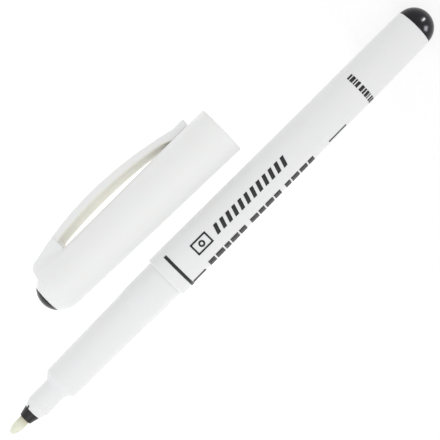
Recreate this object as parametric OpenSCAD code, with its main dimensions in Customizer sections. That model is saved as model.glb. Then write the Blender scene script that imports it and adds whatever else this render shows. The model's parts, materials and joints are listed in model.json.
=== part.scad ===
// Fibre-tip marker for checking banknotes, with its cap off beside it.
// Millimetres, +Z up. +X runs from the nib to the tail of the pen, and +Y to
// the cap. The origin is on the table, under the middle of the two pieces.
// Both pieces lie on their own tapered sides, and the clip leans on the table.

/* [Nib and its holder] */
// Diameter of the fibre nib
nib_d = 2.4; // [2.2:0.1:2.6]
// Length of nib in front of its holder
nib_show = 4.45; // [4:0.05:5]
// Length of the nib's rounded point
nib_point = 2.6; // [2:0.1:3.2]
// Length of the black holder's cone
holder_len = 2.3; // [2:0.1:3]
// Diameter of the cone at the nib
holder_front_d = 3.05; // [2.9:0.05:3.3]
// Diameter of the cone where it meets the white nose
holder_back_d = 4.2; // [4.1:0.05:4.4]
// Diameter of the holder's stem inside the nose
stem_d = 3.6; // [3.4:0.05:3.7]
// Length of the stem
stem_len = 7.8; // [6:0.1:8]
// Length of the small key that the cone carries back into the nose
key_len = 1.1; // [0.4:0.05:1.2]
// Width of the key
key_w = 0.55; // [0.3:0.05:0.6]
// Turn of the key from the top of the pen towards the cap
key_turn = 40; // [0:5:90]

/* [Front section] */
// Length of the white cone behind the holder
nose_len = 1.7; // [1.4:0.1:2]
// Diameter of the neck, where the inner cap seals
neck_d = 5.6; // [5.4:0.1:5.8]
// Length of the neck
neck_len = 5.5; // [5:0.1:6.5]
// Length of the cone between the neck and the grip
flare_len = 1.7; // [1.2:0.1:2.5]
// Diameter of the grip at its front
grip_front_d = 8.45; // [8.2:0.05:8.7]
// Diameter of the grip at its back
grip_back_d = 9.25; // [9:0.05:9.4]
// Length of the grip
grip_len = 22.7; // [18:0.1:26]
// Length of the lead-in that guides the cap on
lead_len = 2.9; // [2:0.1:4]
// Diameter of the collar that the cap slides on
collar_d = 9.65; // [9.5:0.05:9.75]
// Length of the collar
collar_len = 7.2; // [6:0.1:8]
// Diameter of the spigot inside the barrel
spigot_d = 8.6; // [8.4:0.05:8.8]
// Length of the spigot
spigot_len = 9; // [6:0.5:12]

/* [Barrel] */
// Barrel diameter at the front shoulder
barrel_front_d = 10.9; // [10.6:0.05:11.2]
// Barrel diameter at the tail
barrel_back_d = 9.2; // [9:0.05:9.5]
// Length of the barrel
barrel_len = 78.2; // [76:0.1:84]
// Wall of the barrel at the tail
barrel_wall = 1; // [0.9:0.05:1.1]
// Width of the bevel round the barrel's front edge
barrel_edge = 0.35; // [0.2:0.05:0.5]

/* [Tail plug] */
// Diameter of the black dome
dome_d = 9; // [8.6:0.05:9.05]
// Height of the dome
dome_h = 4.5; // [3.8:0.1:4.6]
// Length of the plug's spigot inside the barrel
plug_spigot_len = 8; // [6:0.5:9]
// Wall of the plug's spigot
plug_wall = 1; // [0.8:0.1:1.2]
// Thickness of the fins that hold the ink filler forward
fin_t = 0.8; // [0.6:0.1:1]

/* [Ink filler] */
// Diameter of the fibre filler
filler_d = 6.2; // [6:0.05:6.3]
// Distance from the front of the grip to the filler
filler_setback = 3.2; // [2.2:0.1:4]
// Room behind the filler, up to the end of the barrel
filler_room = 14.5; // [10:0.5:25]
// How far the nib reaches into the filler
nib_socket = 3; // [2:0.5:5]
// Thickness of the film round the filler
film_t = 0.15; // [0.1:0.05:0.15]

/* [Cap] */
// Length of the cap with its black plug
cap_len = 55.5; // [54:0.1:57]
// Outer diameter at the mouth
cap_mouth_d = 12.15; // [12:0.05:12.6]
// Outer diameter behind the rounded end
cap_nose_d = 10.8; // [10.6:0.05:11]
// Length of the rounded end
cap_nose_len = 6; // [5.5:0.1:6.5]
// Bow of the cap's sides, where 1 is a straight taper
cap_bow = 0.7; // [0.6:0.05:1]
// Diameter of the bore that fits the collar
cap_bore_d = 9.7; // [9.7:0.01:9.75]
// Length of that bore, with its lead-in bevel
cap_bore_len = 8.8; // [8:0.1:9.5]
// Width of the bevels at the mouth
mouth_edge = 0.3; // [0.2:0.05:0.4]
// Diameter of the cavity at its closed end
cavity_end_d = 8.2; // [8:0.1:8.4]
// Distance from the cap's end to the cavity
cavity_start = 5; // [4.8:0.1:5.2]
// Diameter of the black plug's edge
cap_plug_d = 7.3; // [6.8:0.1:7.6]
// Diameter of the plug's spigot
cap_plug_spigot_d = 4.6; // [4:0.1:5]

/* [Inner cap] */
// Outer diameter of the inner cap
inner_cap_d = 7.6; // [7.4:0.1:7.8]
// Diameter of its chamber round the nose
inner_chamber_d = 6.4; // [6.3:0.1:6.5]
// Diameter of the lip that seals on the neck
inner_lip_d = 5.65; // [5.65:0.05:5.85]
// Length of the lip
inner_lip_len = 1.6; // [1:0.1:2]
// Distance from the cap's end to the inner cap's mouth
inner_cap_end = 20; // [19:0.1:20.5]
// Thickness of its base
inner_base_t = 1.1; // [0.8:0.1:1.2]

/* [Clip] */
// Width of the clip over its arch
clip_w = 6; // [5.6:0.1:6.2]
// Width of the clip at its foot
clip_foot_w = 4.6; // [4:0.1:5.2]
// Rounding of the clip's edges
clip_round = 0.8; // [0.4:0.1:0.9]
// Distance from the cap's end to the back of the clip's root
root_start = 3.3; // [3.1:0.1:3.6]
// Distance from the cap's end to the front of the root, where the slot ends
root_end = 11.95; // [11:0.05:13]
// Distance from the cap's end to the tip of the clip
clip_end = 50.9; // [50:0.1:52]
// Distance from the cap's end to the top of the arch
arch_x = 25.5; // [24:0.5:28]
// Height of the outside of the arch over the cap's axis
arch_out = 10.23; // [10:0.01:10.4]
// Height of the inside of the arch over the cap's axis
arch_in = 7.93; // [7.8:0.01:8.1]
// Distance from the cap's end to the clip's foot
foot_x = 46.4; // [45.5:0.1:47]
// Height of the outside of the foot over the cap's axis
foot_out = 7.5; // [7.3:0.05:7.7]
// Upward flick at the tip
tip_flick = 0.15; // [0:0.05:0.3]
// Gap between the clip's foot and the cap
foot_gap = 0.15; // [0.1:0.05:0.3]
// Gap where the clip meets its root
seam_gap = 0.15; // [0.1:0.05:0.3]

/* [Lying on the table] */
// How far back the cap's end lies from the nib's tip
cap_back = 25.2; // [20:0.1:45]
// Distance between the pen's axis and the cap's end
cap_aside = 15.3; // [14.5:0.1:25]
// Turn of the cap towards the pen, seen from above
cap_yaw = 1.1; // [-2:0.01:2]
// Roll of the cap, which brings the clip down to the table
cap_roll = 17.5; // [16:0.1:17.5]

/* [Hidden] */

turned_fn = 96;
over = 0.01; // how far a cut runs past a face

// Stations along the pen, from the nib's tip
nose_x = nib_show + holder_len;
neck_x = nose_x + nose_len;
flare_x = neck_x + neck_len;
grip_x = flare_x + flare_len;
lead_x = grip_x + grip_len;
collar_x = lead_x + lead_len;
shoulder_x = collar_x + collar_len;
tail_x = shoulder_x + barrel_len;
pen_len = tail_x + dome_h;
filler_start = grip_x + filler_setback;
filler_end = tail_x - filler_room;
chamber_x = grip_x + 1;
nib_end = filler_start + nib_socket;

// Small edges
nib_bevel = 0.3;
holder_edge = 0.2;
spigot_bevel = 0.25;
lip_bevel = 0.4;
key_fit = 0.02;

// Bores
chamber_d = filler_d + 2 * film_t + 0.1;
tail_bore_d = barrel_back_d - 2 * barrel_wall;
barrel_bore_d = spigot_d - 0.3;

// How the pieces lie
pen_tilt = atan((barrel_front_d - barrel_back_d) / 2 / barrel_len);
pen_z = barrel_front_d / 2 * cos(pen_tilt) + shoulder_x * sin(pen_tilt);
cap_mid = cap_len / 2;
cap_tilt = atan((cap_r(cap_len) - cap_r(cap_mid)) / (cap_len - cap_mid));
cap_z = cap_mouth_d / 2 * cos(cap_tilt) - cap_len * sin(cap_tilt);
clip_reach = (arch_out - clip_round) * cos(cap_roll)
    + (clip_w / 2 - clip_round) * sin(cap_roll)
    + clip_round - arch_x * sin(cap_yaw);
pen_y = (barrel_front_d / 2 - cap_aside - clip_reach) / 2;

// Shape of the clip
arch_back_bend = 0.0068;
arch_front_bend = 0.0054;
arch_in_back_bend = 0.005;
arch_in_front_bend = 0.0045;
fall_x = 43; // where the underside starts to close on the cap
foot_fall = 0.08; // how fast it closes from there
clip_steps = 40;
corner_steps = 4;
under_steps = 6;
tip_lean = 0.35; // how far the outside of the tip overhangs
root_back_r = 2.6;
root_depth = 1; // how far the root reaches into the cap's wall
root_bevel = 0.4;

// Smooth rise from 0 to 1
function smooth(f) = f * f * (3 - 2 * f);

// Quarter ellipse from the axis at x0 to radius r, len further on
function dome(x0, len, r, from = 0, steps = 16) = [
    for (i = [0 : steps])
        let (a = from + (90 - from) * i / steps)
        [x0 + len * (1 - cos(a)), r * sin(a)]
];

// Outer radius of the cap behind its rounded end
function cap_r(x) =
    let (f = max(0, (x - cap_nose_len) / (cap_len - cap_nose_len)))
    (cap_nose_d + (cap_mouth_d - cap_nose_d) * pow(f, cap_bow)) / 2;

// Height of an arch over the cap's axis
function arch(x, top, back_bend, front_bend) =
    top - (x < arch_x ? back_bend : front_bend) * pow(x - arch_x, 2);

function clip_outside(x) = max(
    arch(x, arch_out, arch_back_bend, arch_front_bend),
    foot_out + tip_flick * smooth(max(0, (x - foot_x) / (clip_end - foot_x)))
);

// Height of the clip's underside, which fits round the cap at the foot
function clip_inside(x, z = 0) = max(
    arch(x, arch_in, arch_in_back_bend, arch_in_front_bend)
        - foot_fall * pow(max(0, x - fall_x), 2),
    sqrt(pow(cap_r(x), 2) - z * z) + foot_gap
);

function clip_half_w(x) =
    let (f = max(0, (x - arch_x) / (clip_end - arch_x)))
    (clip_w + (clip_foot_w - clip_w) * smooth(f)) / 2;

// Points round one edge of the clip, as [place across it, distance from its face]
function edge_turn(side, flat, round) = [
    for (i = [0 : corner_steps])
        let (a = 90 * (side > 0 ? i : corner_steps - i) / corner_steps)
        [side * (flat + round * cos(a)), round * (1 - sin(a))]
];

// Rounded section of the clip at x, as points in 3-D
function clip_ring(x, lean = 0) =
    let (
        low = clip_inside(x),
        high = clip_outside(x),
        round = min(clip_round, (high - low) / 2 - 0.05),
        flat = clip_half_w(x) - round,
        right = edge_turn(1, flat, round),
        left = edge_turn(-1, flat, round),
        across = [for (i = [1 : under_steps - 1]) [flat * (1 - 2 * i / under_steps), 0]],
        outline = concat(
            [for (p = concat(right, left)) [high - p[1], p[0]]],
            [for (p = concat(right, across, left)) [clip_inside(x, p[0]) + p[1], -p[0]]]
        )
    )
    [for (p = outline) [x + lean * (p[0] - low) / (high - low), p[0], p[1]]];

// A body turned about the X axis from an outline of [x, radius] points
module turned(outline) {
    rotate([0, 90, 0])
        rotate_extrude($fn = turned_fn)
            polygon([for (p = outline) [p[1], p[0]]]);
}

// Puts a part drawn along the pen's axis where the pen lies
module lay_pen() {
    translate([-pen_len / 2, pen_y, pen_z])
        rotate([0, pen_tilt, 0])
            children();
}

// Puts a part drawn along the cap's axis, clip towards +Y, where the cap lies
module lay_cap() {
    translate([cap_back - pen_len / 2, pen_y + cap_aside, cap_z])
        rotate([0, 0, -cap_yaw])
            rotate([0, -cap_tilt, 0])
                rotate([-cap_roll, 0, 0])
                    children();
}

// The key on the holder, and the notch for it in the nose
module holder_key(extra = 0) {
    rotate([-key_turn, 0, 0])
        translate([nose_x - over, -key_w / 2 - extra, stem_d / 2 - over])
            cube([key_len + extra + over, key_w + 2 * extra, neck_d / 2]);
}

// Outside of the nose, neck, grip and collar
function section_outline() = [
    [nose_x, holder_back_d / 2],
    [neck_x, neck_d / 2],
    [flare_x, neck_d / 2],
    [grip_x, grip_front_d / 2],
    [lead_x, grip_back_d / 2],
    [collar_x, collar_d / 2],
    [shoulder_x, collar_d / 2],
    [shoulder_x, spigot_d / 2],
    [shoulder_x + spigot_len - 2 * spigot_bevel, spigot_d / 2],
    [shoulder_x + spigot_len, spigot_d / 2 - spigot_bevel]
];

// Outside of the cap's white shell, from its plug to its mouth
function shell_outline() =
    let (edge_a = asin(cap_plug_d / cap_nose_d), bow_steps = 12)
    concat(
        dome(0, cap_nose_len, cap_nose_d / 2, from = edge_a),
        [
            for (i = [1 : bow_steps])
                let (x = cap_nose_len
                    + (cap_len - mouth_edge - cap_nose_len) * pow(i / bow_steps, 1.5))
                [x, cap_r(x)]
        ],
        [[cap_len, cap_mouth_d / 2 - mouth_edge]]
    );

module barrel() {
    color("white") lay_pen() turned([
        [shoulder_x, barrel_front_d / 2 - barrel_edge],
        [shoulder_x + barrel_edge, barrel_front_d / 2],
        [tail_x, barrel_back_d / 2],
        [tail_x, tail_bore_d / 2],
        [tail_x - plug_spigot_len, tail_bore_d / 2],
        [shoulder_x + spigot_len, barrel_bore_d / 2],
        [shoulder_x + spigot_len, spigot_d / 2],
        [shoulder_x, spigot_d / 2]
    ]);
}

module tail_plug() {
    hollow_d = tail_bore_d - 2 * plug_wall;
    plug_start = tail_x - plug_spigot_len;
    module fins() {
        length = tail_x - filler_end;
        for (turn = [0, 90])
            rotate([turn, 0, 0])
                translate([filler_end, -hollow_d / 2 - over, -fin_t / 2])
                    cube([length, hollow_d + 2 * over, fin_t]);
    }
    color("black") lay_pen() {
        turned(concat(
            [
                [tail_x, hollow_d / 2],
                [plug_start, hollow_d / 2],
                [plug_start, tail_bore_d / 2],
                [tail_x, tail_bore_d / 2]
            ],
            [
                for (i = [0 : 15])
                    let (a = 90 * i / 16)
                    [tail_x + dome_h * sin(a), dome_d / 2 * cos(a)]
            ],
            [[pen_len, 0], [tail_x, 0]]
        ));
        fins();
    }
}

module front_section() {
    color("white") lay_pen() difference() {
        turned(concat(section_outline(), [
            [shoulder_x + spigot_len, chamber_d / 2],
            [chamber_x, chamber_d / 2],
            [nose_x + stem_len, stem_d / 2],
            [nose_x, stem_d / 2]
        ]));
        holder_key(key_fit);
    }
}

module nib_holder() {
    color("black") lay_pen() {
        turned([
            [nib_show, nib_d / 2],
            [nib_show, holder_front_d / 2 - holder_edge],
            [nib_show + holder_edge, holder_front_d / 2],
            [nose_x, holder_back_d / 2],
            [nose_x, stem_d / 2],
            [nose_x + stem_len, stem_d / 2],
            [nose_x + stem_len, nib_d / 2]
        ]);
        intersection() {
            holder_key();
            turned([
                [nose_x - over, 0],
                [nose_x - over, holder_back_d / 2],
                [nose_x, holder_back_d / 2],
                [neck_x, neck_d / 2],
                [neck_x, 0]
            ]);
        }
    }
}

module nib() {
    color("beige") lay_pen() turned(concat(
        dome(0, nib_point, nib_d / 2),
        [
            [nib_end - nib_bevel, nib_d / 2],
            [nib_end, nib_d / 2 - nib_bevel],
            [nib_end, 0]
        ]
    ));
}

module reservoir() {
    color("ivory") lay_pen() turned([
        [filler_start, nib_d / 2],
        [filler_start, filler_d / 2],
        [filler_end, filler_d / 2],
        [filler_end, 0],
        [nib_end, 0],
        [nib_end, nib_d / 2]
    ]);
}

module reservoir_wrap() {
    color("lightblue") lay_pen() turned([
        [filler_start, filler_d / 2],
        [filler_start, filler_d / 2 + film_t],
        [filler_end, filler_d / 2 + film_t],
        [filler_end, filler_d / 2]
    ]);
}

// Side of the block that joins the clip to the cap
function root_side() =
    let (
        steps = 8,
        base = cap_nose_d / 2 - root_depth,
        turn_x = root_start + root_back_r,
        turn_y = clip_outside(turn_x) - root_back_r
    )
    concat(
        [[root_start, base]],
        [
            for (i = [0 : steps])
                let (a = 90 * i / steps)
                [turn_x - root_back_r * cos(a), turn_y + root_back_r * sin(a)]
        ],
        [
            for (i = [1 : steps])
                let (x = turn_x + (root_end - turn_x) * i / steps)
                [x, clip_outside(x)]
        ],
        [[root_end, base]]
    );

// One layer of that block, so wide and so far below the top
module root_layer(width, drop) {
    translate([0, -drop, -width / 2])
        linear_extrude(width)
            polygon(root_side());
}

module clip_root() {
    root_layer(clip_w, root_bevel);
    root_layer(clip_w - 2 * root_bevel, 0);
}

module cap_shell() {
    color("white") lay_cap() difference() {
        union() {
            turned(concat(
                [[shell_outline()[0][0], 0]],
                shell_outline(),
                [[cap_len, 0]]
            ));
            clip_root();
        }
        turned([
            [-over, 0],
            [-over, cap_plug_spigot_d / 2],
            [cavity_start, cap_plug_spigot_d / 2],
            [cavity_start, cavity_end_d / 2],
            [cap_len - cap_bore_len, cap_bore_d / 2],
            [cap_len - mouth_edge, cap_bore_d / 2],
            [cap_len + over, cap_bore_d / 2 + mouth_edge + over],
            [cap_len + over, 0]
        ]);
    }
}

module cap_plug() {
    edge_x = shell_outline()[0][0];
    edge_a = asin(cap_plug_d / cap_nose_d);
    steps = 8;
    color("black") lay_cap() turned(concat(
        [
            for (i = [0 : steps])
                let (a = edge_a * i / steps)
                [cap_nose_len * (1 - cos(a)), cap_nose_d / 2 * sin(a)]
        ],
        [
            [edge_x, cap_plug_spigot_d / 2],
            [cavity_start, cap_plug_spigot_d / 2],
            [cavity_start, 0]
        ]
    ));
}

module inner_cap() {
    base_x = cavity_start + inner_base_t;
    lip_x = inner_cap_end - inner_lip_len;
    color("gainsboro") lay_cap() turned([
        [cavity_start, 0],
        [cavity_start, cavity_end_d / 2],
        [base_x, cavity_end_d / 2],
        [base_x, inner_cap_d / 2],
        [inner_cap_end, inner_cap_d / 2],
        [inner_cap_end, inner_lip_d / 2 + lip_bevel],
        [inner_cap_end - lip_bevel, inner_lip_d / 2],
        [lip_x, inner_lip_d / 2],
        [lip_x - lip_bevel, inner_chamber_d / 2],
        [base_x, inner_chamber_d / 2],
        [base_x, 0]
    ]);
}

// The sprung strap, lofted through rounded sections
module clip() {
    start = root_end + seam_gap;
    rings = [
        for (i = [0 : clip_steps])
            let (f = i / clip_steps)
            clip_ring(start + (clip_end - tip_lean - start) * f, i == clip_steps ? tip_lean : 0)
    ];
    n = len(rings[0]);
    points = [for (ring = rings) each ring];
    sides = [
        for (i = [0 : clip_steps - 1], j = [0 : n - 1])
            let (
                a = i * n + j,
                b = i * n + (j + 1) % n,
                c = b + n,
                d = a + n
            )
            each [[a, b, c], [a, c, d]]
    ];
    back = [[for (j = [n - 1 : -1 : 0]) j]];
    tip = [[for (j = [0 : n - 1]) clip_steps * n + j]];
    color("white") lay_cap() polyhedron(points, concat(sides, back, tip), convexity = 4);
}

barrel();
tail_plug();
front_section();
nib_holder();
nib();
reservoir();
reservoir_wrap();
cap_shell();
cap_plug();
inner_cap();
clip();
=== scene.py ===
"""Looks of a banknote-checking marker pen that lies on a white table beside its cap.

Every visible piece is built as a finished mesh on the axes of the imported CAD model. Lengths are in
millimetres along those axes, and the meshes are in metres.
"""

import json
import math

import bmesh
import bpy
from mathutils import Matrix, Vector


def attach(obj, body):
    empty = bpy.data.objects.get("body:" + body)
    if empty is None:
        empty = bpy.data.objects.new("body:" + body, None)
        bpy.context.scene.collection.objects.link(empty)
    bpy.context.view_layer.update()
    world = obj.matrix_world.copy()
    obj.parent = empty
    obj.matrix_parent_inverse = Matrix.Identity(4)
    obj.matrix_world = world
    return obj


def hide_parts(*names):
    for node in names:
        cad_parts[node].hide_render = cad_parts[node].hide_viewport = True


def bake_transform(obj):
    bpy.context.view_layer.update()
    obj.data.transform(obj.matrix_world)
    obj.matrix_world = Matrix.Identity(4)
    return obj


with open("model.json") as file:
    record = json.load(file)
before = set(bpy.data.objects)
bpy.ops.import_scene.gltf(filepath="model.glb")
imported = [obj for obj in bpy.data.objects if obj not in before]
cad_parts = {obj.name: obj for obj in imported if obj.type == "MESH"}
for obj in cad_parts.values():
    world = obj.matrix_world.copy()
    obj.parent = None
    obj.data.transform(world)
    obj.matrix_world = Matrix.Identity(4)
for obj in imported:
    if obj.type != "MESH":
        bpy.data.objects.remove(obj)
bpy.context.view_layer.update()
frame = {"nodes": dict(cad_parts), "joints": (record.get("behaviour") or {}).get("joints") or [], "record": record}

MM = 0.001
MOUNTS = {mount["name"]: mount for mount in frame["record"]["mounts"]}
JOINTS = {joint["name"]: joint for joint in frame["joints"]}


# ---------------------------------------------------------------- axes of the two bodies

def place_on(point, along, side):
    """Frame with +X along an axis through point, and +Z as near to side as it can be."""
    x_axis = Vector(along).normalized()
    y_axis = Vector(side).cross(x_axis).normalized()
    z_axis = x_axis.cross(y_axis)
    turn = Matrix((x_axis, y_axis, z_axis)).transposed().to_4x4()
    return Matrix.Translation(point) @ turn


def reach(node, place):
    """Lowest and highest position of a CAD node along the X axis of a frame, in mm."""
    inverse = place.inverted()
    xs = [(inverse @ v.co).x / MM for v in frame["nodes"][node].data.vertices]
    return min(xs), max(xs)


def start_at(place, node):
    """The same frame, moved along its X axis to the low end of a CAD node."""
    return place @ Matrix.Translation((reach(node, place)[0] * MM, 0, 0))


SEAT = MOUNTS["cap_seat"]
MOUTH = MOUNTS["cap_mouth"]
HINGE = JOINTS["clip_flex"]
PEN = start_at(place_on(SEAT["pos_m"], -Vector(SEAT["axis"]), (0, 0, 1)), "nib")
CAP = start_at(place_on(MOUTH["pos_m"], MOUTH["axis"], HINGE["axis"]), "cap_plug")

# Stations along the pen, from the nib's tip
HOLDER_X = reach("nib_holder", PEN)[0]
NOSE_X = reach("front_section", PEN)[0]
SHOULDER_X = reach("barrel", PEN)[0]
TAIL_X = reach("barrel", PEN)[1]
PEN_LEN = reach("tail_plug", PEN)[1]
NIB_END = reach("nib", PEN)[1]
STEM_END = reach("nib_holder", PEN)[1]
SPIGOT_END = reach("front_section", PEN)[1]
FIN_START = reach("tail_plug", PEN)[0]
COLLAR_R = SEAT["dims"]["r_mm"]
COLLAR_X = SHOULDER_X - SEAT["dims"]["length_mm"]
NECK_X = NOSE_X + 1.7
FLARE_X = NECK_X + 5.5
GRIP_X = FLARE_X + 1.7
LEAD_X = COLLAR_X - 2.9
CHAMBER_X = GRIP_X + 1
PLUG_WALL_X = TAIL_X - 8

# Radii of the pen
NIB_R = 1.2
NIB_POINT = 2.6
NIB_STEPS = 18
STEM_R = 1.8
HOLDER_R = (1.525, 2.1)
NECK_R = 2.8
GRIP_R = (4.225, 4.625)
SPIGOT_R = 4.3
CHAMBER_R = 3.3
BARREL_R = (5.45, 4.6)
TAIL_BORE_R = 3.6
BARREL_BORE_R = 4.15
DOME_R = 4.5
DOME_STEPS = 26
FIN_HALF_W = 0.4
PLUG_WALL = 1

# The key on the nib holder, with sections as (distance behind the nose's front, top, half width)
KEY_TURN = math.radians(40)
KEY_FOOT = 1.9
KEY_BEVEL = 0.06
KEY_SECTIONS = ((-0.1, 2.12, 0.27), (0.6, 2.36, 0.26), (1.1, 2.5, 0.12))

# Stations along the cap, from its closed end, and its radii
CAP_LEN = reach("cap_shell", CAP)[1]
PLUG_EDGE_X = reach("cap_shell", CAP)[0]
CAVITY_X = reach("inner_cap", CAP)[0]
INNER_END = reach("inner_cap", CAP)[1]
CLIP_END = reach("clip", CAP)[1]
CAP_BORE_R = MOUTH["dims"]["r_mm"]
CAP_BORE_X = CAP_LEN - 8.8
CAP_NOSE_LEN = 6.0
CAP_NOSE_R = 5.4
CAP_MOUTH_R = 6.075
CAP_BOW = 0.7
CAP_PLUG_SPIGOT_R = 2.3
CAVITY_END_R = 4.1
CAP_RIM_X = CAP_LEN - 1.6

# The inner cap, with a lip that closes round the neck
INNER_BASE_X = CAVITY_X + 1.1
INNER_R = 3.8
INNER_BORE_R = 3.2
LIP_X = INNER_END - 1.6
LIP_R = 2.825
LIP_EASE = 0.4

# The clip and its root on the cap
ARCH_X = 25.5
ARCH_OUT = 10.23
ARCH_IN = 7.93
OUT_BENDS = (0.0068, 0.0054)
IN_BENDS = (0.005, 0.0045)
FOOT_X = 46.4
FOOT_OUT = 7.5
FOOT_FALL = 0.08
FALL_X = 43
TIP_FLICK = 0.15
TIP_LEAN = 0.35
CLIP_HALF_W = (3.0, 2.3)
CLIP_ROUND = 0.8
CLIP_LEAST_FLAT = 0.05
FOOT_ROUND = 0.03
FOOT_ROUND_X = 41
FOOT_ROUND_RUN = 6
TIP_RUN = 2
TIP_ROUND = 0.25
TIP_STEPS = 5
ROOT_START = 3.3
ROOT_BACK_R = 2.6
ROOT_BACK_SLOPE = 14
ROOT_END = 11.95
ROOT_LAP = 0.5
ROOT_SINK = 0.006
ROOT_FILLETS = (0.7, 2.8)
ROOT_FILLET_RUN = 6
ROOT_SPREAD = math.radians(60)
ROOT_BACK_ZONE = (-0.4, 0.75)
ROOT_EDGE_ZONE = (0.12, 0.06, 0.015)
SLOT_FILLET = 1.0
CORNER_STEPS = 7
ACROSS_STEPS = 8

# Printing: x from the shoulder, and s round from the barrel's top towards the cap
INK_RISE = 0.012
INK_SINK = 0.02
FRAME_LINE = (3.0, 3.75, -9.6, 3.7)
FRAME_FOOT = (3.85, 7.7, -7.0, -5.9)
SHORT_LINE = (46.8, 52.1, -6.0, -5.3)
NOTE_SIGN = (8.8, 13.4, -1.9, 1.2)
NOTE_EDGE = 0.42
NOTE_MIDDLE = (11.1, -0.35)
NOTE_RING_R = (0.35, 0.78)
NOTE_RING_STEPS = 40
BAR_STEP = 0.3
HATCH_X = 14.9
HATCH_S = (-1.55, 0.75)
HATCH_PITCH = 1.88
HATCH_WIDTH = 1.0
HATCH_LEAN = 0.75
HATCH_COUNT = 12
DASH_X = 9.2
DASH_S = (-7.3, -4.75)
FINE_X = (59.2, 60.7)
FINE_S = 2.7

# The two rows of dashes, as (width, gap)
DASHES = [(1.9, 0.4), (2.3, 0.4), (1.5, 0.4), (2.3, 0.4), (1.9, 1.5), (2.3, 0.4), (1.7, 0.4), (2.3, 0.4),
          (1.9, 1.5), (1.6, 0.4), (2.2, 0.4), (2.2, 0.4), (1.7, 0.0)]
FINE_DASHES = [(0.5, 0.25), (0.8, 0.25), (0.35, 0.25), (0.7, 0.5), (0.8, 0.25), (0.5, 0.25), (0.8, 0.25),
               (0.35, 0.5), (0.7, 0.25), (0.8, 0.25), (0.5, 0.25), (0.7, 0.25)]

# The table: half its side in metres, its glow in a pool round the cap and beyond it, the pool's
# middle along the cap in mm, and where the glow starts and stops falling in metres from there
# The pool is painted light that lifts the shade on the table between the cap and the pen
TABLE_HALF = 2.0
TABLE_GLOW = (1.3, 0.745)
POOL_X = 22
POOL_REACH = (0.012, 0.07)

# Lamps: angles in degrees, distances and sizes in metres, power in watts. The key lamp faces a
# point KEY_LIGHT_X mm along the pen, and the others the middle of the view
SKY = 0.865
KEY_LIGHT_X = 30
KEY_LIGHT = {"azimuth": -112, "elevation": 62, "distance": 0.28, "size": (0.3, 0.25), "power": 0.2}
GLINTS = {
    "window_glint": {"azimuth": -5, "elevation": 20, "distance": 0.8, "size": (0.1, 0.34), "power": 4.5},
    "side_glint": {"azimuth": -48, "elevation": 21, "distance": 0.8, "size": (0.28, 0.28), "power": 5.0,
                   "colour": (0.9, 0.9, 1.0)},
}
GLINT_PIECES = ("tail_plug_piece", "cap_plug_piece")
NOSE_LIGHT = {"azimuth": 175, "elevation": 22, "distance": 0.6, "size": (0.3, 0.15), "power": 0.16,
              "colour": (0.62, 0.8, 1.0)}

# The camera: width of the view and height over the pen's axis in metres, the middle of the view
# along the pen and beside it in mm, and the pen's slant in degrees
SENSOR_WIDTH = 36.0
VIEW_WIDTH = 0.0975
CAMERA_HEIGHT = 0.41
VIEW_X = 66.05
VIEW_SIDE = 0.44
PEN_SLANT = 45.2


# ---------------------------------------------------------------- mesh tools

BEND_STEPS = 7
FLAT_HOLD = 0.06
LONGEST_RUN = 2.0


def smooth(f):
    """Smooth rise from 0 to 1."""
    f = min(max(f, 0.0), 1.0)
    return f * f * (3 - 2 * f)


def spaced(start, end, steps):
    """Values from start to end in equal steps, with both ends."""
    return [start + (end - start) * i / steps for i in range(steps + 1)]


def make_piece(name, verts_mm, faces, place, body, material, nodes=()):
    """A smooth-shaded mesh object on the given frame, riding on a body if one is named."""
    mesh = bpy.data.meshes.new(name)
    mesh.from_pydata([Vector(v) * MM for v in verts_mm], [], faces)
    mesh.validate()
    mesh.polygons.foreach_set("use_smooth", [True] * len(mesh.polygons))
    mesh.materials.append(material)
    piece = bpy.data.objects.new(name, mesh)
    bpy.context.scene.collection.objects.link(piece)
    piece.matrix_world = place
    bpy.context.view_layer.update()
    if body:
        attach(piece, body)
    for node in nodes:
        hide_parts(node)
    return piece


def soften(corners):
    """Outline with each (x, r, bend) corner turned into an arc of radius bend.

    A point just outside each arc keeps the flat runs flat, and long runs are divided.
    """
    count = len(corners)
    bent = []
    for i, (x, r, bend) in enumerate(corners):
        here = Vector((x, r))
        if bend <= 0:
            bent.append(here)
            continue
        before = Vector(corners[i - 1][:2]) - here
        after = Vector(corners[(i + 1) % count][:2]) - here
        angle = before.angle(after)
        cut = min(bend / math.tan(angle / 2), 0.42 * before.length, 0.42 * after.length)
        first = here + before.normalized() * cut
        last = here + after.normalized() * cut
        bent.append(here + before.normalized() * min(cut + FLAT_HOLD, 0.49 * before.length))
        for f in spaced(0, 1, BEND_STEPS):
            bent.append(first * (1 - f) ** 2 + here * 2 * f * (1 - f) + last * f ** 2)
        bent.append(here + after.normalized() * min(cut + FLAT_HOLD, 0.49 * after.length))
    outline = []
    for i, point in enumerate(bent):
        outline.append(point)
        if i + 1 < len(bent):
            run = bent[i + 1] - point
            parts = int(run.length / LONGEST_RUN)
            for k in range(1, parts):
                outline.append(point + run * k / parts)
    return [(p.x, p.y) for p in outline]


def lathe(outline, turns):
    """Vertices and faces of an outline of (x, r) turned about the X axis.

    An outline that starts and ends on the axis is closed there, and any other is a loop.
    """
    verts, faces, rings = [], [], []
    for x, r in outline:
        if r < 1e-6:
            rings.append([len(verts)])
            verts.append((x, 0, 0))
            continue
        rings.append(list(range(len(verts), len(verts) + turns)))
        for j in range(turns):
            a = 2 * math.pi * j / turns
            verts.append((x, r * math.sin(a), r * math.cos(a)))
    pairs = list(zip(rings, rings[1:]))
    if len(rings[0]) > 1:
        pairs.append((rings[-1], rings[0]))
    for one, two in pairs:
        for j in range(turns):
            k = (j + 1) % turns
            if len(one) == 1 and len(two) == 1:
                break
            if len(one) == 1:
                faces.append((one[0], two[j], two[k]))
            elif len(two) == 1:
                faces.append((one[j], two[0], one[k]))
            else:
                faces.append((one[j], two[j], two[k], one[k]))
    return verts, faces


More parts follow.
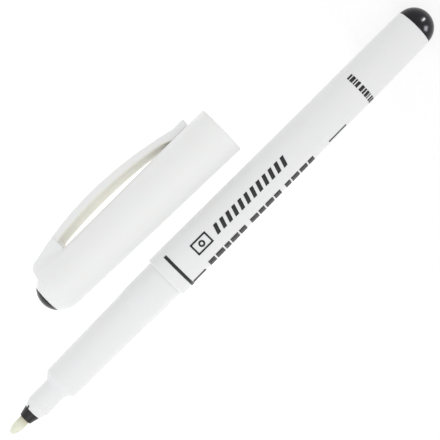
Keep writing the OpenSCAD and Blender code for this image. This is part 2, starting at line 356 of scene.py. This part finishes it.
def loft(rings):
    """Vertices and faces of closed rings of equal length joined in order, with ends closed."""
    verts = [v for ring in rings for v in ring]
    n = len(rings[0])
    faces = []
    for i in range(len(rings) - 1):
        for j in range(n):
            k = (j + 1) % n
            faces.append((i * n + j, (i + 1) * n + j, (i + 1) * n + k, i * n + k))
    for ring, first, flip in ((rings[0], 0, False), (rings[-1], (len(rings) - 1) * n, True)):
        middle = sum((Vector(v) for v in ring), Vector()) / n
        centre = len(verts)
        verts.append(tuple(middle))
        for j in range(n):
            k = (j + 1) % n
            a, b = first + j, first + k
            faces.append((centre, b, a) if flip else (centre, a, b))
    return verts, faces


def joined(*parts):
    """Several (vertices, faces) pairs as one."""
    verts, faces = [], []
    for more_verts, more_faces in parts:
        base = len(verts)
        verts.extend(more_verts)
        faces.extend(tuple(base + i for i in face) for face in more_faces)
    return verts, faces


def face_outwards(piece):
    """Turns every face of a closed mesh to the outside."""
    work = bmesh.new()
    work.from_mesh(piece.data)
    bmesh.ops.recalc_face_normals(work, faces=work.faces)
    work.to_mesh(piece.data)
    work.free()


# ---------------------------------------------------------------- materials

def shader(name):
    """A new material, its node tree and its main shader."""
    material = bpy.data.materials.new(name)
    material.use_nodes = True
    tree = material.node_tree
    return material, tree, tree.nodes["Principled BSDF"]


def add(tree, kind, **inputs):
    """A new node, with the given input values."""
    node = tree.nodes.new(kind)
    for key, value in inputs.items():
        node.inputs[key.replace("_", " ")].default_value = value
    return node


def noise(tree, scale, detail=2.0, stretch=(1, 1, 1)):
    """Noise over the object, with features about 1/scale metres across."""
    coords = tree.nodes.new("ShaderNodeTexCoord")
    mapping = tree.nodes.new("ShaderNodeMapping")
    mapping.inputs["Scale"].default_value = stretch
    texture = add(tree, "ShaderNodeTexNoise", Scale=scale, Detail=detail, Roughness=0.55)
    tree.links.new(coords.outputs["Object"], mapping.inputs["Vector"])
    tree.links.new(mapping.outputs["Vector"], texture.inputs["Vector"])
    return texture.outputs["Fac"]


def ramp(tree, source, stops):
    """Colours or greys over a 0 to 1 source, from a list of (position, colour)."""
    node = tree.nodes.new("ShaderNodeValToRGB")
    elements = node.color_ramp.elements
    while len(elements) < len(stops):
        elements.new(0.5)
    for element, (position, colour) in zip(elements, stops):
        element.position = position
        element.color = (*colour, 1)
    tree.links.new(source, node.inputs["Fac"])
    return node.outputs["Color"]


def spread(tree, source, low, high):
    """A 0.3 to 0.7 source mapped to the range from low to high."""
    node = add(tree, "ShaderNodeMapRange", From_Min=0.3, From_Max=0.7, To_Min=low, To_Max=high)
    tree.links.new(source, node.inputs["Value"])
    return node.outputs["Result"]


def bumps(tree, target, layers):
    """Bump layers of (height source, depth in mm, strength) feeding the target's normal."""
    normal = None
    for source, depth, strength in layers:
        node = add(tree, "ShaderNodeBump", Strength=strength, Distance=depth * MM)
        tree.links.new(source, node.inputs["Height"])
        if normal:
            tree.links.new(normal, node.inputs["Normal"])
        normal = node.outputs["Normal"]
    tree.links.new(normal, target.inputs["Normal"])


def paint_shade_facing(tree, colour, direction, painted_shade):
    """Painted shade: a colour multiplied by a given shade colour where the surface faces the direction."""
    coords = tree.nodes.new("ShaderNodeTexCoord")
    facing = tree.nodes.new("ShaderNodeVectorMath")
    facing.operation = "DOT_PRODUCT"
    facing.inputs[1].default_value = tuple(direction)
    tree.links.new(coords.outputs["Normal"], facing.inputs[0])
    mask = add(tree, "ShaderNodeMapRange", From_Min=0.35, From_Max=0.9)
    tree.links.new(facing.outputs["Value"], mask.inputs["Value"])
    mix = tree.nodes.new("ShaderNodeMix")
    mix.data_type = "RGBA"
    mix.blend_type = "MULTIPLY"
    tree.links.new(mask.outputs["Result"], mix.inputs[0])
    tree.links.new(colour, mix.inputs[6])
    mix.inputs[7].default_value = (*painted_shade, 1)
    return mix.outputs[2]


def plastic(name, dark, light, rough, grain=1.0, glow=0.0, shine=0.5, ior=1.49, painted_shade=None):
    """Moulded plastic: slight clouding of colour and gloss, flow waves and a fine skin texture.

    rough is the range of its roughness, and glow is how much of the light scatters under its skin.
    The last argument, a direction on the finished mesh's axes and a colour, paints shade: the colour
    multiplies the faces turned that way.
    """
    material, tree, main = shader(name)
    cloud = noise(tree, 140, 3, (0.4, 1, 1))
    colour = ramp(tree, cloud, [(0.3, dark), (0.7, light)])
    if painted_shade:
        colour = paint_shade_facing(tree, colour, *painted_shade)
    tree.links.new(colour, main.inputs["Base Color"])
    main.inputs["Specular IOR Level"].default_value = shine
    smudge = noise(tree, 420, 4)
    tree.links.new(spread(tree, smudge, *rough), main.inputs["Roughness"])
    wave = noise(tree, 160, 1, (0.5, 1, 1))
    skin = noise(tree, 7000, 3)
    bumps(tree, main, [(wave, 0.04 * grain, 0.3), (skin, 0.0012 * grain, 0.5)])
    main.inputs["IOR"].default_value = ior
    if glow:
        main.inputs["Subsurface Weight"].default_value = glow
        main.inputs["Subsurface Radius"].default_value = (1.0, 0.95, 0.85)
        main.inputs["Subsurface Scale"].default_value = 0.6 * MM
    return material


def fibre(name, stops, along, depth, length):
    """Bonded fibre: long streaks, a colour that changes along the piece, and a dry nap.

    along is the fineness of the streaks, depth their relief in mm, and length the piece's in mm.
    """
    material, tree, main = shader(name)
    coords = tree.nodes.new("ShaderNodeTexCoord")
    split = tree.nodes.new("ShaderNodeSeparateXYZ")
    tree.links.new(coords.outputs["Object"], split.inputs["Vector"])
    place = add(tree, "ShaderNodeMapRange", From_Min=0.0, From_Max=length * MM)
    tree.links.new(split.outputs["X"], place.inputs["Value"])
    base = ramp(tree, place.outputs["Result"], stops)
    streak = noise(tree, along, 4, (0.08, 1, 1))
    shade = ramp(tree, streak, [(0.3, (0.8, 0.8, 0.78)), (0.7, (1, 1, 1))])
    mix = tree.nodes.new("ShaderNodeMix")
    mix.data_type = "RGBA"
    mix.blend_type = "MULTIPLY"
    mix.inputs[0].default_value = 1.0
    tree.links.new(base, mix.inputs[6])
    tree.links.new(shade, mix.inputs[7])
    tree.links.new(mix.outputs[2], main.inputs["Base Color"])
    tree.links.new(spread(tree, streak, 0.75, 0.95), main.inputs["Roughness"])
    nap = noise(tree, 9000, 3, (0.35, 1, 1))
    bumps(tree, main, [(streak, depth, 0.8), (nap, depth * 0.5, 0.7)])
    main.inputs["Specular IOR Level"].default_value = 0.25
    return material


def ink(name):
    """Printed ink, black with a slightly uneven film."""
    material, tree, main = shader(name)
    film = noise(tree, 2500, 3)
    black = ramp(tree, film, [(0.3, (0.004,) * 3), (0.7, (0.012,) * 3)])
    tree.links.new(black, main.inputs["Base Color"])
    tree.links.new(spread(tree, film, 0.35, 0.55), main.inputs["Roughness"])
    bumps(tree, main, [(film, 0.006, 0.5)])
    return material


SATIN = {"rough": (0.3, 0.34), "glow": 0.4, "shine": 0.3, "ior": 1.25}
# The clip's faces turned in towards the cap get painted shade, darker and warmer, for the shade and bounced light
# in the slot
CLIP_INSIDE = -(CAP.to_3x3() @ Vector((0, 1, 0)))
WHITE = plastic("white_plastic", (0.785, 0.787, 0.785), (0.79, 0.792, 0.79), **SATIN)
CAP_WHITE = plastic("cap_plastic", (0.815, 0.817, 0.812), (0.82, 0.822, 0.817), **SATIN)
CLIP_WHITE = plastic(
    "clip_plastic", (0.8, 0.802, 0.797), (0.805, 0.807, 0.802),
    painted_shade=(CLIP_INSIDE, (0.97, 0.95, 0.86)), **SATIN,
)
BLACK = plastic("black_plastic", (0.004, 0.004, 0.005), (0.008, 0.008, 0.01), (0.16, 0.26), 0.7, shine=0.25)
HOLDER_BLACK = plastic("holder_plastic", (0.006, 0.006, 0.007), (0.01, 0.01, 0.012), (0.22, 0.32), 0.7)
NATURAL = plastic("natural_plastic", (0.6, 0.6, 0.57), (0.67, 0.67, 0.64), (0.38, 0.52))
FILM = plastic("clear_film", (0.6, 0.68, 0.72), (0.7, 0.76, 0.8), (0.1, 0.2))
NIB_FIBRE = fibre(
    "nib_fibre",
    [(0.0, (0.87, 0.885, 0.75)), (0.12, (0.83, 0.84, 0.70)), (0.2, (0.62, 0.6, 0.46))],
    5200, 0.02, NIB_END,
)
FILLER_FIBRE = fibre(
    "filler_fibre",
    [(0.0, (0.8, 0.8, 0.72)), (1.0, (0.85, 0.85, 0.8))],
    3000, 0.05, PEN_LEN,
)
INK = ink("print_ink")


# ---------------------------------------------------------------- the pen

def turned_piece(name, corners, place, body, material, nodes, more=(), turns=144):
    """A turned piece with softened corners, and any more parts joined to it."""
    verts, faces = joined(lathe(soften(corners), turns), *more)
    piece = make_piece(name, verts, faces, place, body, material, nodes)
    face_outwards(piece)


def block(low, high):
    """A closed box between two corners."""
    xs, ys, zs = zip(low, high)
    verts = [(x, y, z) for x in xs for y in ys for z in zs]
    faces = [(0, 1, 3, 2), (4, 6, 7, 5), (0, 4, 5, 1), (2, 3, 7, 6), (0, 2, 6, 4), (1, 5, 7, 3)]
    return verts, faces


def dome(x0, height, radius, steps):
    """Quarter ellipse from the rim at x0 to the pole, as corners without bends."""
    angles = spaced(0, math.pi / 2, steps)
    return [(x0 + height * math.sin(a), radius * math.cos(a), 0) for a in angles]


def build_nib():
    tip = dome(NIB_POINT, -NIB_POINT, NIB_R, NIB_STEPS)[::-1]
    corners = tip + [(NIB_END, NIB_R, 0.25), (NIB_END, 0, 0)]
    turned_piece("nib_piece", corners, PEN, "pen", NIB_FIBRE, ["nib"], turns=72)


def build_holder():
    corners = [
        (HOLDER_X, NIB_R, 0.05), (HOLDER_X, HOLDER_R[0], 0.2), (NOSE_X, HOLDER_R[1], 0.08),
        (NOSE_X, STEM_R, 0.05), (STEM_END, STEM_R, 0.2), (STEM_END, NIB_R, 0.05),
    ]
    key = []
    for behind, top, half in KEY_SECTIONS:
        side_top, flat = top - KEY_BEVEL, half * 0.6
        section = [(KEY_FOOT, -half), (side_top, -half), (top, -flat), (top, flat), (side_top, half),
                   (KEY_FOOT, half)]
        key.append([turned_point(NOSE_X + behind, side, up, KEY_TURN) for up, side in section])
    turned_piece("nib_holder_piece", corners, PEN, "pen", HOLDER_BLACK, ["nib_holder"],
                 [loft(key)], turns=96)


def turned_point(x, side, up, turn):
    """A point at height up over the axis and aside, turned from the top towards +Y."""
    c, s = math.cos(turn), math.sin(turn)
    return (x, up * s + side * c, up * c - side * s)


def build_front_section():
    corners = [
        (NOSE_X, STEM_R, 0.05), (NOSE_X, HOLDER_R[1], 0.06), (NECK_X, NECK_R, 0.9), (FLARE_X, NECK_R, 1.0),
        (GRIP_X, GRIP_R[0], 0.3), (LEAD_X, GRIP_R[1], 1.5), (COLLAR_X, COLLAR_R, 1.5),
        (SHOULDER_X, COLLAR_R, 0.04), (SHOULDER_X, SPIGOT_R, 0.04),
        (SPIGOT_END, SPIGOT_R, 0.3), (SPIGOT_END, CHAMBER_R, 0.2),
        (CHAMBER_X, CHAMBER_R, 0.3), (STEM_END, STEM_R, 0.3),
    ]
    turned_piece("front_section_piece", corners, PEN, "pen", WHITE, ["front_section"])


def build_barrel():
    corners = [
        (SHOULDER_X, SPIGOT_R, 0.05), (SHOULDER_X, BARREL_R[0], 0.35), (TAIL_X, BARREL_R[1], 0.12),
        (TAIL_X, TAIL_BORE_R, 0.05), (PLUG_WALL_X, TAIL_BORE_R, 0),
        (SPIGOT_END, BARREL_BORE_R, 0), (SPIGOT_END, SPIGOT_R, 0),
    ]
    turned_piece("barrel_piece", corners, PEN, "pen", WHITE, ["barrel"])


def build_tail_plug():
    hollow = TAIL_BORE_R - PLUG_WALL
    corners = [
        (TAIL_X, 0, 0), (TAIL_X, hollow, 0), (PLUG_WALL_X, hollow, 0.2), (PLUG_WALL_X, TAIL_BORE_R, 0.3),
        (TAIL_X, TAIL_BORE_R, 0.02),
    ]
    corners += dome(TAIL_X, PEN_LEN - TAIL_X, DOME_R, DOME_STEPS)
    fins = [
        block((FIN_START, -hollow, -FIN_HALF_W), (TAIL_X, hollow, FIN_HALF_W)),
        block((FIN_START, -FIN_HALF_W, -hollow), (TAIL_X, FIN_HALF_W, hollow)),
    ]
    turned_piece("tail_plug_piece", corners, PEN, "pen", BLACK, ["tail_plug"], fins)


# ---------------------------------------------------------------- printing

def barrel_r(x):
    """Radius of the barrel's outside."""
    f = (x - SHOULDER_X) / (TAIL_X - SHOULDER_X)
    return BARREL_R[0] + (BARREL_R[1] - BARREL_R[0]) * f


def on_barrel(x, s, rise):
    """A point at x, and s mm round from the top towards the cap, rise mm off the barrel."""
    r = barrel_r(x)
    a = s / r
    return (x, (r + rise) * math.sin(a), (r + rise) * math.cos(a))


def film(grid):
    """A closed slab of ink over a grid of (x, s) points on the barrel."""
    rows, cols = len(grid), len(grid[0])
    verts = [on_barrel(x, s, rise) for rise in (INK_RISE, -INK_SINK) for row in grid for x, s in row]
    under = rows * cols
    faces = []
    for i in range(rows - 1):
        for j in range(cols - 1):
            a, b = i * cols + j, (i + 1) * cols + j
            faces.append((a, b, b + 1, a + 1))
            faces.append((under + a, under + a + 1, under + b + 1, under + b))
    rim = list(range(cols))
    rim += [i * cols + cols - 1 for i in range(1, rows)]
    rim += [(rows - 1) * cols + j for j in range(cols - 2, -1, -1)]
    rim += [i * cols for i in range(rows - 2, 0, -1)]
    for a, b in zip(rim, rim[1:] + rim[:1]):
        faces.append((a, b, under + b, under + a))
    return verts, faces


def bar(x0, x1, s0, s1, slant=0.0):
    """A bar of ink from x0 to x1 and from s0 to s1, leaning by slant in x over its height."""
    steps = max(2, int(abs(s1 - s0) / BAR_STEP))
    grid = []
    for i in range(steps + 1):
        f = i / steps
        s = s0 + (s1 - s0) * f
        grid.append([(x0 + (x1 - x0) * k / 2 + slant * f, s) for k in range(3)])
    return film(grid)


def ring(x, s, inner, outer, steps):
    """A ring of ink about (x, s), as two halves."""
    halves = []
    for start in (0, math.pi):
        angles = spaced(start, start + math.pi, steps)
        grid = [[(x + r * math.cos(a), s + r * math.sin(a)) for r in (inner, outer)] for a in angles]
        halves.append(film(grid))
    return joined(*halves)


def frame_box(x0, x1, s0, s1, width):
    """The outline of a rectangle in ink."""
    return joined(
        bar(x0, x1, s0, s0 + width), bar(x0, x1, s1 - width, s1),
        bar(x0, x0 + width, s0 + width, s1 - width), bar(x1 - width, x1, s0 + width, s1 - width),
    )


def build_print():
    """Plain marks in place of the lettering: a frame line, a banknote sign, hatching and dashes."""
    lines = (FRAME_LINE, FRAME_FOOT, SHORT_LINE)
    marks = [bar(SHOULDER_X + x0, SHOULDER_X + x1, s0, s1) for x0, x1, s0, s1 in lines]
    x0, x1, s0, s1 = NOTE_SIGN
    marks.append(frame_box(SHOULDER_X + x0, SHOULDER_X + x1, s0, s1, NOTE_EDGE))
    marks.append(ring(SHOULDER_X + NOTE_MIDDLE[0], NOTE_MIDDLE[1], *NOTE_RING_R, NOTE_RING_STEPS))
    for i in range(HATCH_COUNT):
        x = SHOULDER_X + HATCH_X + HATCH_PITCH * i
        marks.append(bar(x, x + HATCH_WIDTH, *HATCH_S, HATCH_LEAN))
    x = SHOULDER_X + DASH_X
    for width, gap in DASHES:
        marks.append(bar(x, x + width, *DASH_S))
        x += width + gap
    s = FINE_S
    for width, gap in FINE_DASHES:
        marks.append(bar(SHOULDER_X + FINE_X[0], SHOULDER_X + FINE_X[1], s - width, s))
        s -= width + gap
    verts, faces = joined(*marks)
    piece = make_piece("print_marks", verts, faces, PEN, "pen", INK)
    face_outwards(piece)


# ---------------------------------------------------------------- the cap

def cap_r(x):
    """Radius of the cap's outside, without the clip's root."""
    if x < CAP_NOSE_LEN:
        return CAP_NOSE_R * math.sqrt(max(0.0, 1 - (1 - x / CAP_NOSE_LEN) ** 2))
    f = (x - CAP_NOSE_LEN) / (CAP_LEN - CAP_NOSE_LEN)
    return CAP_NOSE_R + (CAP_MOUTH_R - CAP_NOSE_R) * f ** CAP_BOW


def arch(x, top, bends):
    """Height of an arch that is top at ARCH_X and bends down by a different amount on each side."""
    return top - bends[0 if x < ARCH_X else 1] * (x - ARCH_X) ** 2


def clip_outside(x):
    """Height of the clip's outer face, which turns up a little at the tip."""
    foot = FOOT_OUT + TIP_FLICK * smooth((x - FOOT_X) / (CLIP_END - FOOT_X))
    return max(arch(x, ARCH_OUT, OUT_BENDS), foot)


def clip_inside(x, z=0.0):
    """Height of the clip's inner face, which fits round the cap at the foot."""
    corner = min(max((ROOT_END + SLOT_FILLET - x) / SLOT_FILLET, 0.0), 1.0)
    under = arch(x, ARCH_IN, IN_BENDS) - FOOT_FALL * max(0.0, x - FALL_X) ** 2
    under -= SLOT_FILLET * (1 - math.sqrt(1 - corner * corner))
    return max(under, math.sqrt(cap_r(x) ** 2 - z * z))


def clip_half_w(x):
    """Half the clip's width, which narrows from the top of the arch to the tip."""
    f = smooth((x - ARCH_X) / (CLIP_END - ARCH_X))
    return CLIP_HALF_W[0] + (CLIP_HALF_W[1] - CLIP_HALF_W[0]) * f


def root_top(x):
    """Height of the clip's root over the cap's axis, with its rounded back."""
    turn_x = ROOT_START + ROOT_BACK_R
    if x >= turn_x:
        return clip_outside(x)
    drop = (turn_x - x) / ROOT_BACK_R
    edge = clip_outside(turn_x) - ROOT_BACK_R
    if drop >= 1:
        return edge - ROOT_BACK_SLOPE * (drop - 1) * ROOT_BACK_R
    return edge + ROOT_BACK_R * math.sqrt(1 - drop * drop)


def block_r(a, top, half, bend):
    """Distance from the axis to a round-edged block's outside, in the direction a from its top."""
    if top <= bend:
        return 0.0
    c, s = math.cos(a), abs(math.sin(a))
    level = 0.02
    if c <= level:
        return half / max(s, level) * max(0.0, c / level)
    cx, cy = top - bend, half - bend
    if top * s / c <= cy:
        return top / c
    if s > 0 and half * c / s <= cx:
        return half / s
    along = cx * c + cy * s
    return along + math.sqrt(max(0.0, along * along - cx * cx - cy * cy + bend * bend))


def blended_max(a, b, width):
    """The larger of two values, with a soft turn where they are within width of each other."""
    near = max(width - abs(a - b), 0.0) / width
    return max(a, b) + near * near * width / 4


def cap_angles():
    """Angles from the clip's side, close together round the root."""
    fine = spaced(-ROOT_SPREAD, ROOT_SPREAD, 150)
    return fine + spaced(ROOT_SPREAD, 2 * math.pi - ROOT_SPREAD, 72)[1:-1]


def cap_stations():
    """Positions along the cap's outside, close together round the root's ends."""
    back, back_end = (ROOT_START + edge for edge in ROOT_BACK_ZONE)
    front, *edges = (ROOT_END - edge for edge in ROOT_EDGE_ZONE)
    xs = spaced(PLUG_EDGE_X, back, 14)[:-1] + spaced(back, back_end, 23)
    return xs + spaced(back_end, front, 40)[1:] + edges


def build_cap_shell():
    angles = cap_angles()
    n = len(angles)
    rows = []
    for x in cap_stations():
        top, half = root_top(x), clip_half_w(x)
        rise = smooth((ROOT_END - x) / ROOT_FILLET_RUN)
        fillet = ROOT_FILLETS[0] + (ROOT_FILLETS[1] - ROOT_FILLETS[0]) * rise
        rows.append([(x, blended_max(cap_r(x), block_r(a, top, half, CLIP_ROUND), fillet)) for a in angles])
    plain = [ROOT_END] + spaced(ROOT_END + 0.1, CAP_LEN - 0.45, 30)
    inner = soften([
        (CAP_RIM_X, cap_r(CAP_LEN), 0), (CAP_LEN, cap_r(CAP_LEN), 0.55), (CAP_LEN, CAP_BORE_R, 0.35),
        (CAP_BORE_X, CAP_BORE_R, 0.3), (CAVITY_X, CAVITY_END_R, 0.2),
        (CAVITY_X, CAP_PLUG_SPIGOT_R, 0.05), (PLUG_EDGE_X, CAP_PLUG_SPIGOT_R, 0.05),
        (PLUG_EDGE_X, cap_r(PLUG_EDGE_X), 0),
    ])
    loop = [(x, cap_r(x)) for x in plain if x < CAP_RIM_X] + inner
    rows += [[(x, r)] * n for x, r in loop[:-1]]
    verts = []
    for row in rows:
        for (x, r), a in zip(row, angles):
            verts.append((x, r * math.cos(a), r * math.sin(a)))
    faces = []
    count = len(rows)
    for i in range(count):
        for j in range(n):
            k, m = (j + 1) % n, (i + 1) % count
            faces.append((i * n + j, m * n + j, m * n + k, i * n + k))
    piece = make_piece("cap_shell_piece", verts, faces, CAP, "cap", CAP_WHITE, ["cap_shell"])
    face_outwards(piece)


def edge_turns(half, bend):
    """Points from side to side over one face of the clip, as (place across, distance from the face)."""
    angles = spaced(0, math.pi / 2, CORNER_STEPS)
    flat = half - bend
    right = [(flat + bend * math.cos(a), bend * (1 - math.sin(a))) for a in angles]
    across = [(flat * (1 - 2 * i / ACROSS_STEPS), 0.0) for i in range(1, ACROSS_STEPS)]
    return right + across + [(-z, drop) for z, drop in reversed(right)]


def clip_section(x, inset=0.0, lean=0.0, sink=0.0):
    """Round-edged section of the clip at x, as a ring of points.

    inset draws in every side, sink every side but the inside, and lean moves the outside along x.
    """
    low, high = clip_inside(x) + inset, clip_outside(x) - inset - sink
    half = clip_half_w(x) - inset - sink
    bend = min(CLIP_ROUND, (high - low) / 2 - CLIP_LEAST_FLAT)
    under = bend + (FOOT_ROUND - bend) * smooth((x - FOOT_ROUND_X) / FOOT_ROUND_RUN)
    outline = [(high - drop, z) for z, drop in edge_turns(half, bend)]
    outline += [(clip_inside(x, z) + inset + rise, -z) for z, rise in edge_turns(half, under)]
    return [(x + lean * (y - low) / (high - low), y, z) for y, z in outline]


def build_clip():
    end = CLIP_END - TIP_LEAN
    round_x = end - TIP_ROUND
    fillet_end = ROOT_END + SLOT_FILLET + 0.2
    rings = []
    for x in spaced(ROOT_END - ROOT_LAP, fillet_end, 16)[:-1] + spaced(fillet_end, round_x, 100):
        lean = TIP_LEAN * smooth((x - (end - TIP_RUN)) / TIP_RUN)
        rings.append(clip_section(x, lean=lean, sink=ROOT_SINK if x < ROOT_END else 0.0))
    for a in spaced(0, math.pi / 2, TIP_STEPS)[1:]:
        x, inset = round_x + TIP_ROUND * math.sin(a), TIP_ROUND * (1 - math.cos(a))
        rings.append(clip_section(x, inset, TIP_LEAN))
    verts, faces = loft(rings)
    piece = make_piece("clip_piece", verts, faces, CAP, None, CLIP_WHITE, ["clip"])
    face_outwards(piece)
    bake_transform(piece)


def build_cap_plug():
    edge = math.asin(cap_r(PLUG_EDGE_X) / CAP_NOSE_R)
    corners = [
        (CAP_NOSE_LEN * (1 - math.cos(a)), CAP_NOSE_R * math.sin(a), 0) for a in spaced(0, edge, 14)
    ]
    corners += [
        (PLUG_EDGE_X, CAP_PLUG_SPIGOT_R, 0.05), (CAVITY_X, CAP_PLUG_SPIGOT_R, 0.15), (CAVITY_X, 0, 0),
    ]
    turned_piece("cap_plug_piece", corners, CAP, "cap", BLACK, ["cap_plug"])


def build_inner_cap():
    corners = [
        (CAVITY_X, 0, 0), (CAVITY_X, CAVITY_END_R, 0.1), (INNER_BASE_X, CAVITY_END_R, 0.15),
        (INNER_BASE_X, INNER_R, 0.2), (INNER_END, INNER_R, 0.25), (INNER_END, LIP_R + LIP_EASE, 0.1),
        (INNER_END - LIP_EASE, LIP_R, 0.1), (LIP_X, LIP_R, 0.1), (LIP_X - LIP_EASE, INNER_BORE_R, 0.1),
        (INNER_BASE_X, INNER_BORE_R, 0.3), (INNER_BASE_X, 0, 0),
    ]
    turned_piece("inner_cap_piece", corners, CAP, "cap", NATURAL, ["inner_cap"])


def finish_inner_nodes():
    """Materials for the CAD pieces that stay as they are."""
    for node, material in (("reservoir", FILLER_FIBRE), ("reservoir_wrap", FILM)):
        mesh = frame["nodes"][node].data
        mesh.materials.clear()
        mesh.materials.append(material)


# ---------------------------------------------------------------- table, light and camera

def build_table():
    """A white table top with a soft glow, and painted light in a brighter pool round the cap that lifts the shade
    there.
    """
    mesh = bpy.data.meshes.new("table")
    corners = [(TABLE_HALF * x, TABLE_HALF * y, 0) for x, y in ((-1, -1), (1, -1), (1, 1), (-1, 1))]
    mesh.from_pydata(corners, [], [(0, 1, 2, 3)])
    material, tree, main = shader("table_white")
    grain = noise(tree, 900, 3)
    white = ramp(tree, grain, [(0.3, (0.24,) * 3), (0.7, (0.26,) * 3)])
    tree.links.new(white, main.inputs["Base Color"])
    main.inputs["Roughness"].default_value = 0.9
    main.inputs["Specular IOR Level"].default_value = 0.0
    main.inputs["Emission Color"].default_value = (1, 1, 1, 1)
    coords = tree.nodes.new("ShaderNodeTexCoord")
    away = tree.nodes.new("ShaderNodeVectorMath")
    away.operation = "DISTANCE"
    away.inputs[1].default_value = CAP @ Vector((POOL_X * MM, 0, 0))
    tree.links.new(coords.outputs["Object"], away.inputs[0])
    fall = add(
        tree, "ShaderNodeMapRange",
        From_Min=POOL_REACH[0], From_Max=POOL_REACH[1], To_Min=TABLE_GLOW[0], To_Max=TABLE_GLOW[1],
    )
    tree.links.new(away.outputs["Value"], fall.inputs["Value"])
    tree.links.new(fall.outputs["Result"], main.inputs["Emission Strength"])
    mesh.materials.append(material)
    table = bpy.data.objects.new("table", mesh)
    bpy.context.scene.collection.objects.link(table)


def soft_light(name, target, azimuth, elevation, distance, size, power, colour=(1, 1, 1)):
    """A rectangular lamp that faces the target, which sees it at an azimuth from +X."""
    data = bpy.data.lights.new(name, "AREA")
    data.shape = "RECTANGLE"
    data.size, data.size_y = size
    data.energy = power
    data.color = colour
    lamp = bpy.data.objects.new(name, data)
    bpy.context.scene.collection.objects.link(lamp)
    a, e = math.radians(azimuth), math.radians(elevation)
    away = Vector((math.cos(e) * math.cos(a), math.cos(e) * math.sin(a), math.sin(e)))
    lamp.location = target + away * distance
    lamp.rotation_euler = away.to_track_quat("Z", "Y").to_euler()
    return lamp


def build_light(target):
    """Even sky light, a key lamp on the pen's front, and lamps for the glints and the nose."""
    world = bpy.data.worlds.new("studio")
    world.use_nodes = True
    sky = world.node_tree.nodes["Background"]
    sky.inputs["Color"].default_value = (1.0, 1.0, 1.0, 1)
    sky.inputs["Strength"].default_value = SKY
    bpy.context.scene.world = world
    soft_light("key", PEN @ Vector((KEY_LIGHT_X * MM, 0, 0)), **KEY_LIGHT)
    ends = bpy.data.collections.new("shiny_ends")
    for name in GLINT_PIECES:
        ends.objects.link(bpy.data.objects[name])
    for name, settings in GLINTS.items():
        lamp = soft_light(name, target, **settings)
        lamp.light_linking.receiver_collection = ends
    soft_light("nose_light", target, **NOSE_LIGHT)


def build_camera():
    """Camera straight above, with the pen across the picture from lower left to upper right."""
    middle = PEN @ Vector((VIEW_X * MM, 0, 0))
    side = Vector((0, 1, 0)) * VIEW_SIDE * MM
    data = bpy.data.cameras.new("camera")
    data.sensor_width = SENSOR_WIDTH
    data.lens = data.sensor_width * CAMERA_HEIGHT / VIEW_WIDTH
    camera = bpy.data.objects.new("camera", data)
    bpy.context.scene.collection.objects.link(camera)
    camera.location = middle + side + Vector((0, 0, CAMERA_HEIGHT))
    camera.rotation_euler = (0, 0, -math.radians(PEN_SLANT))
    bpy.context.scene.camera = camera
    return middle


# ---------------------------------------------------------------- the scene

middle = build_camera()
build_nib()
build_holder()
build_front_section()
build_barrel()
build_tail_plug()
build_print()
build_cap_shell()
build_clip()
build_cap_plug()
build_inner_cap()
finish_inner_nodes()
build_table()
build_light(middle)
bpy.context.scene.view_settings.view_transform = "Standard"
